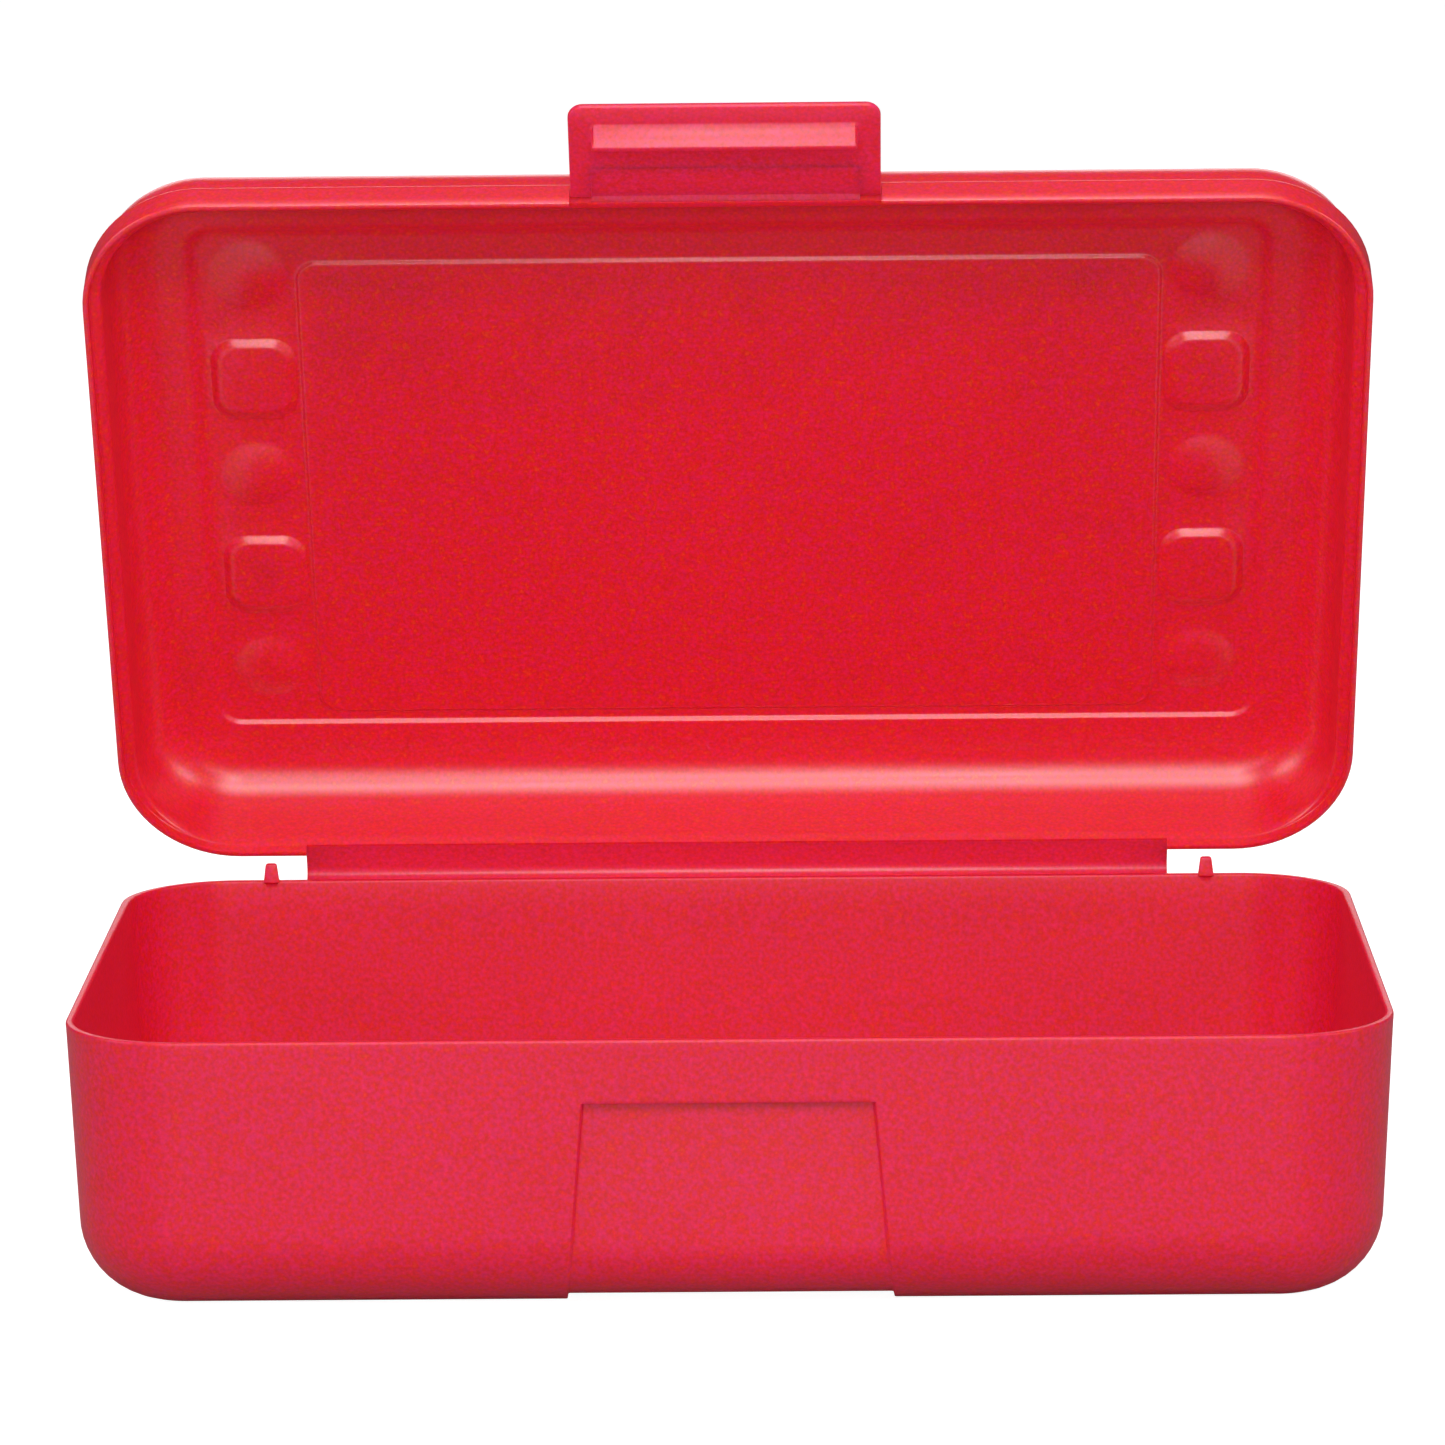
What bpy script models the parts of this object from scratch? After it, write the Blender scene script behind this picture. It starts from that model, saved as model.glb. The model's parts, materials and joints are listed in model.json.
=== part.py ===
"""One-piece moulded pencil case with a living-hinge lid and a snap latch.

Units are metres and degrees. +X is right, -Y is the latch side, +Z is up, and the origin is the
centre of the underside. The lid and the latch are modelled shut, each around its own hinge axis,
and two empties then swing them open. In the lid, "span" is the distance from the hinge axis
towards the latch, and "rise" is the height over the ledge that lands on the base's rim.
"""

import math

import bmesh
import bpy

# Plastic
WALL = 0.0013
FIT_GAP = 0.0003
RED = (0.76, 0.042, 0.084, 1.0)
ROUGHNESS = 0.42

# Base
BASE_WIDTH = 0.2134
BASE_DEPTH = 0.1314
BASE_HEIGHT = 0.0455
BASE_CORNER = 0.0190
BASE_FILLET = 0.0135
BASE_FLOOR = 0.0015
DRAFT = math.tan(math.radians(2.6))

# Finger recess in the front wall: a trapezoid under a ledge that the latch hooks on
RECESS_TOP = 0.0350
RECESS_HALF = 0.02625
RECESS_TAPER = 0.088
RECESS_DEPTH = 0.0020
RECESS_FILLET = 0.0100
RECESS_UNDER = 0.00145
RECESS_RUN_OUT = 0.0150

# Lid
LID_OVERHANG = 0.0013
REAR_OVERHANG = 0.0016
LID_REAR = 0.0047
LID_CORNER = 0.0205
LID_RISE = 0.0180
LEDGE_Z = 0.0001
SKIRT_WALL = 0.0010
SKIRT_DROP = 0.0020
SHOULDER_RISE = 0.0040
SIDE_STEP = 0.0017
REAR_STEP = 0.00035
DOME_SLOPE = 0.035
DOME_FILLET = 0.0092
STEP_WIDTH = 0.0004
PLATEAU_LIFT = 0.0008
PLATEAU_HALF = 0.0913
PLATEAU_REAR = 0.0163
PLATEAU_FRONT = 0.1183
PLATEAU_CORNER = 0.0040
LABEL_SINK = 0.0009
LABEL_HALF = 0.0734
LABEL_REAR = 0.0185
LABEL_FRONT = 0.1116
LABEL_CORNER = 0.0035

# Bosses pressed into the lid beside the label panel, domes and squares in turn
BOSS_X = 0.0816
BOSS_FIRST = 0.0282
BOSS_PITCH = 0.02025
BOSS_COUNT = 5
BOSS_DEPTH = 0.0016
DOME_RADIUS = 0.0065
SQUARE_HALF = 0.0073
SQUARE_CORNER = 0.0030

# Main living hinge
HINGE_HALF = 0.0764
HINGE_RISE = 0.0001
HINGE_LEAF = 0.0008
HINGE_LEAF_OFFSET = 0.0002
HINGE_FILM_RADIUS = 0.0004
LID_OPEN = 64.7

# Latch, measured from its own hinge axis
LATCH_BACK = 0.0002
LATCH_AXIS_RISE = 0.0006
LATCH_HALF = 0.02575
LATCH_INNER = 0.0007
LATCH_TOP = -0.0007
LATCH_TIP = -0.0190
LATCH_CORNER = 0.0025
LATCH_FILM_HALF = 0.0003
LATCH_OPEN = 82.0
NOTCH_SIDE = 0.0006
NOTCH_RISE = 0.0022
NOTCH_DEPTH = 0.0014
WEB_HALF = 0.02225
WEB_BOTTOM = -0.0059
WEB_THICKNESS = 0.0005
WEB_BULGE = 0.0006
CATCH_HALF = 0.0220
CATCH_TOP = -0.01165
CATCH_BOTTOM = -0.0154
CATCH_REACH = 0.0025
CATCH_LAND = 0.00095

# Locating pegs inside the base's rear rim
PEG_X = 0.0822
PEG_RISE = 0.0032
PEG_ROOT = 0.0025
PEG_FOOT_HALF = 0.0014
PEG_TOP_HALF = 0.0010
PEG_THICKNESS = 0.0011

CORNER_STEPS = 7
FILLET_STEPS = 5
BOSS_STEPS = 16
OVERCUT = 0.0010

# Worked out
REAR = BASE_DEPTH / 2
HINGE_Y = REAR + REAR_OVERHANG + LID_REAR
HINGE_Z = BASE_HEIGHT + HINGE_RISE
LID_HALF = BASE_WIDTH / 2 + LID_OVERHANG
LID_FRONT = HINGE_Y + REAR + LID_OVERHANG
BORDER_RISE = LID_RISE - PLATEAU_LIFT
LATCH_SPAN = LID_FRONT - LATCH_BACK


def clear_scene():
    for item in list(bpy.data.objects):
        bpy.data.objects.remove(item, do_unlink=True)


def plastic(name):
    material = bpy.data.materials.new(name + "_plastic")
    material.use_nodes = True
    shader = material.node_tree.nodes["Principled BSDF"]
    shader.inputs["Base Color"].default_value = RED
    shader.inputs["Roughness"].default_value = ROUGHNESS
    shader.inputs["Metallic"].default_value = 0.0
    return material


def finish(name, shape, parent=None):
    """Turn a bmesh into a named object with outward faces and its own plastic."""
    bmesh.ops.recalc_face_normals(shape, faces=shape.faces)
    mesh = bpy.data.meshes.new(name)
    shape.to_mesh(mesh)
    shape.free()
    mesh.shade_smooth()
    mesh.set_sharp_from_angle(angle=math.radians(35))
    mesh.materials.append(plastic(name))
    item = bpy.data.objects.new(name, mesh)
    bpy.context.scene.collection.objects.link(item)
    item.parent = parent
    return item


def add_boolean(item, tool, operation):
    tool.hide_render = True
    tool.display_type = "WIRE"
    modifier = item.modifiers.new(tool.name, "BOOLEAN")
    modifier.operation = operation
    modifier.solver = "EXACT"
    modifier.object = tool


def pivot(name, location, opening, parent=None):
    """An empty on a hinge axis along X, swung open by some degrees."""
    empty = bpy.data.objects.new(name, None)
    bpy.context.scene.collection.objects.link(empty)
    empty.parent = parent
    empty.location = location
    empty.rotation_euler = (-math.radians(opening), 0.0, 0.0)
    return empty


def outline(half_x, front, rear, corner):
    """Anticlockwise points of a rectangle with round corners; the front is at low Y."""
    centres = (
        (half_x - corner, front + corner),
        (half_x - corner, rear - corner),
        (corner - half_x, rear - corner),
        (corner - half_x, front + corner),
    )
    points = []
    for quarter, (x, y) in enumerate(centres):
        for step in range(CORNER_STEPS + 1):
            angle = math.radians(90 * (quarter - 1 + step / CORNER_STEPS))
            points.append((x + corner * math.cos(angle), y + corner * math.sin(angle)))
    return points


def fill_loft(shape, rings):
    """Skin a list of point rings and cap the first and the last one."""
    loops = [[shape.verts.new(point) for point in ring] for ring in rings]
    count = len(loops[0])
    for lower, upper in zip(loops, loops[1:]):
        for index in range(count):
            after = (index + 1) % count
            shape.faces.new((lower[index], lower[after], upper[after], upper[index]))
    shape.faces.new(loops[0])
    shape.faces.new(loops[-1])


def loft(name, rings, parent=None):
    shape = bmesh.new()
    fill_loft(shape, rings)
    return finish(name, shape, parent)


def prism(name, profile, half_width, parent=None, taper=0.0):
    """Extrude a (Y, Z) profile along X; its half width shrinks by the taper as Z grows."""
    ends = [[(sign * (half_width - taper * z), y, z) for y, z in profile] for sign in (-1, 1)]
    return loft(name, ends, parent)


def block(name, half_width, y_range, z_range, parent=None):
    low_y, high_y = y_range
    low_z, high_z = z_range
    profile = [(low_y, low_z), (high_y, low_z), (high_y, high_z), (low_y, high_z)]
    return prism(name, profile, half_width, parent)


# ---- base ----


def base_ring(inset, z):
    return [(x, y, z) for x, y in outline(
        BASE_WIDTH / 2 - inset, inset - REAR, REAR - inset, BASE_CORNER - inset)]


def base_wall_inset(z):
    return DRAFT * (BASE_HEIGHT - z)


def base_fillet(thickness):
    """(inset, z) points of the bottom fillet, from the flat up to the wall."""
    centre = base_wall_inset(BASE_FILLET) + BASE_FILLET
    radius = BASE_FILLET - thickness
    points = []
    for step in range(FILLET_STEPS + 1):
        angle = math.radians(90 * step / FILLET_STEPS)
        points.append((centre - radius * math.sin(angle), BASE_FILLET - radius * math.cos(angle)))
    return points


def recess_profile(thickness):
    """(Y, Z) points of the recess face, from its ledge down and out under the base."""
    face = RECESS_DEPTH + base_wall_inset(RECESS_TOP) - REAR + thickness
    centre_y = RECESS_DEPTH + base_wall_inset(RECESS_TOP) - REAR + RECESS_FILLET
    centre_z = RECESS_UNDER + RECESS_FILLET
    radius = RECESS_FILLET - thickness
    points = [(face, RECESS_TOP + thickness)]
    for step in range(FILLET_STEPS + 1):
        angle = math.radians(90 * step / FILLET_STEPS)
        points.append((centre_y - radius * math.cos(angle), centre_z - radius * math.sin(angle)))
    points.append((centre_y + RECESS_RUN_OUT, thickness))
    return points


def make_base_tub():
    rings = [base_ring(inset, z) for inset, z in base_fillet(0.0)]
    rings.append(base_ring(0.0, BASE_HEIGHT))
    rings.append(base_ring(WALL, BASE_HEIGHT))
    inside = base_fillet(BASE_FLOOR)
    inner_wall = base_wall_inset(BASE_FILLET) + WALL
    rings.append(base_ring(inner_wall, BASE_FILLET))
    rings += [base_ring(inset, z) for inset, z in reversed(inside[:-1])]
    tub = loft("base_tub", rings)

    # The wall follows the recess inwards, so its backing starts halfway through the skin
    half_skin = WALL / 2
    skin = [(inset - REAR, z) for inset, z in base_fillet(half_skin)]
    skin.append((half_skin + base_wall_inset(RECESS_TOP) - REAR, RECESS_TOP + WALL))
    behind = recess_profile(WALL)
    behind[-1] = (behind[-1][0], half_skin)
    start = min(range(len(skin)), key=lambda index: skin[index][1])
    backing = prism("recess_backing", skin[start:] + behind, RECESS_HALF + WALL, taper=RECESS_TAPER)
    add_boolean(tub, backing, "UNION")

    hollow = recess_profile(0.0)
    hollow[-1] = (hollow[-1][0], -OVERCUT)
    outside = [(-REAR - OVERCUT, -OVERCUT), (-REAR - OVERCUT, RECESS_TOP)]
    cutter = prism("recess_cutter", hollow + outside, RECESS_HALF, taper=RECESS_TAPER)
    add_boolean(tub, cutter, "DIFFERENCE")
    return tub


def make_peg(side, sign):
    """A tapered blade against the rear wall that centres the lid as it closes."""
    back = REAR - WALL - FIT_GAP - base_wall_inset(BASE_HEIGHT - PEG_ROOT)
    front = back - PEG_THICKNESS
    middle = (back + front) / 2
    levels = (
        (BASE_HEIGHT - PEG_ROOT, PEG_TOP_HALF, 0.5),
        (BASE_HEIGHT, PEG_FOOT_HALF, 1.0),
        (BASE_HEIGHT + PEG_RISE, PEG_TOP_HALF, 0.75),
    )
    rings = []
    for z, half, share in levels:
        depth = share * PEG_THICKNESS / 2
        corners = ((-half, -depth), (half, -depth), (half, depth), (-half, depth))
        rings.append([(sign * PEG_X + x, middle + y, z) for x, y in corners])
    return loft("locating_peg_" + side, rings)


def make_base():
    make_base_tub()
    make_peg("left", -1)
    make_peg("right", 1)
    leaf_top = HINGE_Z - HINGE_LEAF_OFFSET
    leaf_end = HINGE_Y - HINGE_FILM_RADIUS - FIT_GAP
    block("hinge_base_leaf", HINGE_HALF, (REAR + FIT_GAP, leaf_end), (leaf_top - HINGE_LEAF, leaf_top))


# ---- lid, around its hinge axis ----


def lid_ring(inset, rear_inset, rise):
    points = outline(LID_HALF - inset, inset - LID_FRONT, -LID_REAR - rear_inset, LID_CORNER - inset)
    return [(x, y, LEDGE_Z + rise) for x, y in points]


def dome_ring(thickness, rise):
    slope = DOME_SLOPE * rise + thickness
    return lid_ring(SIDE_STEP + slope, REAR_STEP + slope, rise)


def dome_fillet(thickness):
    """Rings of the round edge, from the side wall up to the flat border."""
    centre_rise = BORDER_RISE - DOME_FILLET
    centre = DOME_SLOPE * centre_rise + DOME_FILLET
    radius = DOME_FILLET - thickness
    rings = []
    for step in range(FILLET_STEPS + 1):
        angle = math.radians(90 * step / FILLET_STEPS)
        inset = centre - radius * math.cos(angle)
        rise = centre_rise + radius * math.sin(angle)
        rings.append(lid_ring(SIDE_STEP + inset, REAR_STEP + inset, rise))
    return rings


def panel_ring(half_x, rear, front, corner, grow, rise):
    """A ring of a raised or sunk panel; spans count from the lid's rear edge."""
    points = outline(half_x + grow, -LID_REAR - front - grow, grow - LID_REAR - rear, corner + grow)
    return [(x, y, LEDGE_Z + rise) for x, y in points]


def top_rings(thickness):
    """Rings from the border over the plateau's step to the label panel's floor."""
    plateau = (PLATEAU_HALF, PLATEAU_REAR, PLATEAU_FRONT, PLATEAU_CORNER)
    label = (LABEL_HALF, LABEL_REAR, LABEL_FRONT, LABEL_CORNER)
    half_step = STEP_WIDTH / 2
    top = LID_RISE - thickness
    return [
        panel_ring(*plateau, half_step, top - PLATEAU_LIFT),
        panel_ring(*plateau, -half_step, top),
        panel_ring(*label, half_step, top),
        panel_ring(*label, -half_step, top - LABEL_SINK),
    ]


def fill_dome_boss(shape, x, y, thickness, top):
    """Part of a ball whose crown hangs BOSS_DEPTH under the skin's inner face."""
    skin = LID_RISE - WALL
    ball = (DOME_RADIUS ** 2 + BOSS_DEPTH ** 2) / (2 * BOSS_DEPTH)
    centre = skin - BOSS_DEPTH + ball
    radius = ball - thickness
    reach = math.acos((centre - top) / radius)
    crown = shape.verts.new((x, y, LEDGE_Z + centre - radius))
    levels = 4
    loops = []
    for level in range(1, levels + 1):
        tilt = reach * level / levels
        ring = []
        for step in range(BOSS_STEPS):
            angle = 2 * math.pi * step / BOSS_STEPS
            spread = radius * math.sin(tilt)
            z = LEDGE_Z + centre - radius * math.cos(tilt)
            ring.append(shape.verts.new((x + spread * math.cos(angle), y + spread * math.sin(angle), z)))
        loops.append(ring)
    for step in range(BOSS_STEPS):
        after = (step + 1) % BOSS_STEPS
        shape.faces.new((crown, loops[0][step], loops[0][after]))
        for inner, outer in zip(loops, loops[1:]):
            shape.faces.new((inner[step], outer[step], outer[after], inner[after]))
    shape.faces.new(loops[-1])


def fill_square_boss(shape, x, y, thickness, top):
    low = LID_RISE - WALL - BOSS_DEPTH + thickness
    half = SQUARE_HALF - thickness
    corner = SQUARE_CORNER - thickness
    flat = outline(half, -half, half, corner)
    rings = [[(x + u, y + v, LEDGE_Z + rise) for u, v in flat] for rise in (low, top)]
    fill_loft(shape, rings)


def make_bosses(name, parent, thickness, top):
    """All ten bosses as one boolean tool, shrunk by the thickness."""
    shape = bmesh.new()
    for side in (-1, 1):
        for index in range(BOSS_COUNT):
            y = -LID_REAR - BOSS_FIRST - index * BOSS_PITCH
            fill_boss = fill_square_boss if index % 2 else fill_dome_boss
            fill_boss(shape, side * BOSS_X, y, thickness, top)
    return finish(name, shape, parent)


def make_lid_shell(parent):
    outside = list(reversed(top_rings(0.0)))
    outside += reversed(dome_fillet(0.0))
    outside.append(dome_ring(0.0, SHOULDER_RISE))
    outside.append(lid_ring(0.0, 0.0, SHOULDER_RISE))
    outside.append(lid_ring(0.0, 0.0, -SKIRT_DROP))
    inside = [lid_ring(SKIRT_WALL, SKIRT_WALL, -SKIRT_DROP)]
    inside.append(lid_ring(SKIRT_WALL, SKIRT_WALL, 0.0))
    inside.append(dome_ring(WALL, 0.0))
    inside += dome_fillet(WALL)
    inside += top_rings(WALL)
    shell = loft("lid_shell", outside + inside, parent)

    pads = make_bosses("boss_pads", parent, 0.0, LID_RISE - WALL / 2)
    add_boolean(shell, pads, "UNION")
    pockets = make_bosses("boss_pockets", parent, WALL, LID_RISE + OVERCUT / 2)
    add_boolean(shell, pockets, "DIFFERENCE")
    notch = block(
        "latch_notch", LATCH_HALF + NOTCH_SIDE,
        (-LID_FRONT - OVERCUT, NOTCH_DEPTH - LID_FRONT),
        (LEDGE_Z - SKIRT_DROP - OVERCUT, LEDGE_Z + NOTCH_RISE), parent)
    add_boolean(shell, notch, "DIFFERENCE")
    rear_notch = block(
        "hinge_notch", HINGE_HALF + NOTCH_SIDE,
        (-LID_REAR - SKIRT_WALL - OVERCUT, OVERCUT - LID_REAR),
        (LEDGE_Z - SKIRT_DROP - OVERCUT, 0.0), parent)
    add_boolean(shell, rear_notch, "DIFFERENCE")
    return shell


def make_rod(name, radius, half_width, parent, steps=10):
    """A thin rod on the hinge axis: the stretch of plastic that bends."""
    turns = [2 * math.pi * (step + 0.5) / steps for step in range(steps)]
    profile = [(radius * math.cos(turn), radius * math.sin(turn)) for turn in turns]
    return prism(name, profile, half_width, parent)


def make_lid(lid_pivot):
    make_lid_shell(lid_pivot)
    make_rod("hinge_film", HINGE_FILM_RADIUS, HINGE_HALF, lid_pivot)
    leaf_start = -HINGE_FILM_RADIUS - FIT_GAP
    block("hinge_lid_leaf", HINGE_HALF, (FIT_GAP - LID_REAR, leaf_start),
          (HINGE_LEAF_OFFSET, HINGE_LEAF_OFFSET + HINGE_LEAF), lid_pivot)
    film_z = LEDGE_Z + LATCH_AXIS_RISE
    block("latch_hinge_film", WEB_HALF,
          (-LATCH_SPAN - LATCH_FILM_HALF, NOTCH_DEPTH - FIT_GAP - LID_FRONT),
          (film_z - LATCH_FILM_HALF, film_z + LATCH_FILM_HALF), lid_pivot)


# ---- latch, around its own hinge axis ----


def make_latch(latch_pivot):
    make_flap(latch_pivot)
    make_web(latch_pivot)
    inner = LATCH_INNER + FIT_GAP
    reach = LATCH_INNER + CATCH_REACH
    profile = [(inner, CATCH_TOP), (reach, CATCH_TOP), (reach, CATCH_TOP - CATCH_LAND), (inner, CATCH_BOTTOM)]
    prism("latch_catch_bar", profile, CATCH_HALF, latch_pivot)


def make_flap(latch_pivot):
    """A plate hanging in front of the recess, forked at the top around the hinge web."""
    corner = LATCH_CORNER
    points = [(LATCH_HALF, LATCH_TOP), (WEB_HALF + FIT_GAP, LATCH_TOP)]
    points += [(WEB_HALF + FIT_GAP, WEB_BOTTOM), (-WEB_HALF - FIT_GAP, WEB_BOTTOM)]
    points += [(-WEB_HALF - FIT_GAP, LATCH_TOP), (-LATCH_HALF, LATCH_TOP)]
    for sign in (-1, 1):
        arc = range(FILLET_STEPS + 1)
        for step in (arc if sign < 0 else reversed(arc)):
            angle = math.radians(90 * step / FILLET_STEPS)
            x = sign * (LATCH_HALF - corner + corner * math.cos(angle))
            points.append((x, LATCH_TIP + corner - corner * math.sin(angle)))
    inner = LATCH_INNER
    outer = LATCH_INNER - WALL
    loft("latch_flap", [[(x, y, z) for x, z in points] for y in (inner, outer)], latch_pivot)


def make_web(latch_pivot):
    """The thin strip between the hinge and the flap, bowed away from the case."""
    top = LATCH_TOP
    bottom = WEB_BOTTOM + FIT_GAP
    profile = []
    for offset, order in ((0.0, 1), (WEB_THICKNESS, -1)):
        curve = []
        for step in range(FILLET_STEPS + 2):
            share = step / (FILLET_STEPS + 1)
            bow = WEB_BULGE * math.sin(math.pi * share)
            curve.append((LATCH_INNER - WEB_THICKNESS / 2 - bow - offset, top + (bottom - top) * share))
        profile += curve[::order]
    prism("latch_web", profile, WEB_HALF, latch_pivot)


def build():
    clear_scene()
    make_base()
    lid_pivot = pivot("lid_hinge", (0.0, HINGE_Y, HINGE_Z), LID_OPEN)
    make_lid(lid_pivot)
    latch_place = (0.0, -LATCH_SPAN, LEDGE_Z + LATCH_AXIS_RISE)
    latch_pivot = pivot("latch_hinge", latch_place, LATCH_OPEN, lid_pivot)
    make_latch(latch_pivot)


build()
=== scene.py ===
import json
import math

import bmesh
import bpy
from mathutils import Matrix, Vector
from mathutils.geometry import delaunay_2d_cdt


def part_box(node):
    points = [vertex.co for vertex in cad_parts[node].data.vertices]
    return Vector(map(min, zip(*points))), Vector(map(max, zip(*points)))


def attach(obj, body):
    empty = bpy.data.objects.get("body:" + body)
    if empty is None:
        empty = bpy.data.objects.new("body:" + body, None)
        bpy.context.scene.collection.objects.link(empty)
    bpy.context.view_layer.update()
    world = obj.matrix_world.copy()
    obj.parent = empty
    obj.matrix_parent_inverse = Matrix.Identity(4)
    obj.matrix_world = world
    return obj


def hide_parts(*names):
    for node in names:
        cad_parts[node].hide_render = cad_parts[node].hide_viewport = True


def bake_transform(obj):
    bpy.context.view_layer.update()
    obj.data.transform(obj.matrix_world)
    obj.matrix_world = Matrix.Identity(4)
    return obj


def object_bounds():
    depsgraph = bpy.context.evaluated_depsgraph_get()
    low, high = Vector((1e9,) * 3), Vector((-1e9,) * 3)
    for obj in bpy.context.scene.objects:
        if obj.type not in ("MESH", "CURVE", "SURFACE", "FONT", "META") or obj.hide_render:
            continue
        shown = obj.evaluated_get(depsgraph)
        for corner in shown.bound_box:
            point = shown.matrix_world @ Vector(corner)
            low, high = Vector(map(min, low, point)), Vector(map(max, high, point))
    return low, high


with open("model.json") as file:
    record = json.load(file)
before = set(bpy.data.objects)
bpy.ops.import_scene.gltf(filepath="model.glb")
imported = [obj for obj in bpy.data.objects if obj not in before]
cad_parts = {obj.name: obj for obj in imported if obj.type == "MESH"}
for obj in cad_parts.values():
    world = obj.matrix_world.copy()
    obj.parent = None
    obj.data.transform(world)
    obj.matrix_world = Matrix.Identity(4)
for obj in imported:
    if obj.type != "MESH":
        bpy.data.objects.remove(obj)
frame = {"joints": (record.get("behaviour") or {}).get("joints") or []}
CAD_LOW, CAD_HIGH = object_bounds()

# A pencil case moulded in one piece. Metres and degrees; +X right, -Y latch side, +Z up. The lid
# and the latch are built shut, each around its hinge axis, then swung to the angles of the frame.
# "Inset" is the distance in from an outline. "Span" is the distance from the lid's hinge axis
# towards the latch, and "rise" is the height over the lid's ledge, the face that lands on the
# base's rim. Profiles are tuples of steps across a small edge, in millimetres and in shares.

MM = 0.001
WALL = 1.3 * MM

JOINTS = {joint["name"]: joint for joint in frame["joints"]}
LID_AXIS = Vector(JOINTS["lid_fold"]["pos_m"])
LATCH_AXIS = Vector(JOINTS["latch_flex"]["pos_m"])
LID_OPEN = -JOINTS["lid_fold"]["range_deg"][0]
LATCH_OPEN = -JOINTS["latch_flex"]["range_deg"][0]
BASE_HALF_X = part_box("base_tub")[1].x
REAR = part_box("base_tub")[1].y
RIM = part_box("base_tub")[1].z
LID_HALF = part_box("lid_shell")[1].x
HINGE_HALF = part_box("hinge_base_leaf")[1].x - 0.3 * MM

# Base
BASE_CORNER = 19.0 * MM
BASE_CORNER_LEAST = 4.0 * MM
BASE_FILLET = 13.5 * MM
BASE_FLOOR = 1.5 * MM
DRAFT = math.tan(math.radians(2.6))
RIM_ROUND = ((0.0, 0.5), (0.03, 0.22), (0.14, 0.06), (0.36, 0.0), (0.65, 0.0))  # across, drop
RECESS_TOP = 35.0 * MM
RECESS_HALF = 26.25 * MM
RECESS_TAPER = 0.088
RECESS_DEPTH = 2.0 * MM
RECESS_FILLET = 10.0 * MM
RECESS_UNDER = 1.45 * MM
RECESS_RUN_OUT = 8.9 * MM
# Offset out from the recess's side edge, share of its depth
RECESS_EDGE = (
    (0.9, 0.0), (0.45, 0.0), (0.22, 0.01), (0.08, 0.09),
    (-0.10, 0.9), (-0.26, 0.99), (-0.5, 1.0), (-0.95, 1.0),
)
# Height over the recess's top edge beside it, share of its depth, height over its top edge in it
RECESS_LEDGE = (
    (-0.55, 1.0, -0.55), (-0.25, 1.0, -0.22), (-0.1, 0.93, -0.05), (0.0, 0.8, 0.0),
    (0.05, 0.2, 0.02), (0.12, 0.03, 0.10), (0.3, 0.0, 0.3), (0.7, 0.0, 0.7),
)
PEG_HALF = 1.0 * MM
PEG_SHIFT = 0.35 * MM
PEG_LEAN = 0.12
PEG_THINNEST = 0.3 * MM
PEG_CORNER = 0.14 * MM

# Lid
LID_REAR = 4.7 * MM
LID_FRONT = 139.0 * MM
LID_CORNER = 20.5 * MM
LEDGE_Z = 0.1 * MM
LID_RISE = 18.0 * MM
SKIRT_WALL = 1.0 * MM
SKIRT_DROP = 2.0 * MM
SHOULDER_RISE = 4.0 * MM
SIDE_STEP = 1.7 * MM
REAR_STEP = 0.35 * MM
DOME_SLOPE = 0.035
DOME_FILLET = 9.4 * MM
# Share of the inset of the side wall's foot, height over the shoulder
SHOULDER_FLAT = ((0.93, 0.12), (0.72, 0.0), (0.4, -0.02))
# Inset in millimetres, drop below the shoulder
SHOULDER_ROUND = ((0.32, 0.05), (0.12, 0.17), (0.0, 0.45), (0.0, 0.9))
# Inset at the sides and the front, inset at the rear, rise
LIP = (
    (1.0, 1.0, -0.6), (1.03, 1.08, -0.25), (1.2, 1.14, -0.06),
    (1.6, 1.17, 0.0), (2.05, 1.21, 0.08), (2.45, 1.28, 0.25),
    (2.75, 1.38, 0.55), (2.95, 1.52, 1.0), (3.05, 1.65, 1.6),
)
# Half width, distances of the rear and front sides from the lid's rear, corner radius
PLATEAU = (91.3 * MM, 16.3 * MM, 118.3 * MM, 4.0 * MM)
PLATEAU_LIFT = 0.8 * MM
PLATEAU_SOFTNESS = 3.0
LABEL = (73.4 * MM, 18.5 * MM, 111.6 * MM, 3.5 * MM)
LABEL_SINK = 0.5 * MM
LABEL_SOFTNESS = 1.2
PANEL_REAR_SOFTNESS = 1.2
# Offset out from the panel's edge, share of its step
PANEL_STEP = ((0.5, 0.0), (0.24, 0.04), (0.1, 0.22), (-0.1, 0.78), (-0.24, 0.96), (-0.5, 1.0))
BOSS_X = 81.6 * MM
BOSS_FIRST = 28.2 * MM
BOSS_PITCH = 20.25 * MM
BOSS_COUNT = 5
BOSS_DEPTH = 1.1 * MM
DOME_RADIUS = 6.5 * MM
# Share of the dome's radius, share of its height; the cap follows a formula
DOME_FOOT = ((1.12, 0.0), (1.05, 0.02), (0.99, 0.065))
DOME_CAP = (0.93, 0.84, 0.74, 0.63, 0.51, 0.39, 0.26, 0.13)
SQUARE_HALF = 6.75 * MM
SQUARE_CORNER = 3.8 * MM
SQUARE_CORNER_LEAST = 0.4 * MM
SQUARE_TAIL = 1.1 * MM
# Offset out from the square's edge, share of its height
SQUARE_SLOPE = (
    (0.75, 0.0), (0.6, 0.035), (0.45, 0.13), (0.3, 0.26), (0.0, 0.52),
    (-0.3, 0.78), (-0.48, 0.91), (-0.7, 0.975), (-1.0, 1.0),
)

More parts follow.
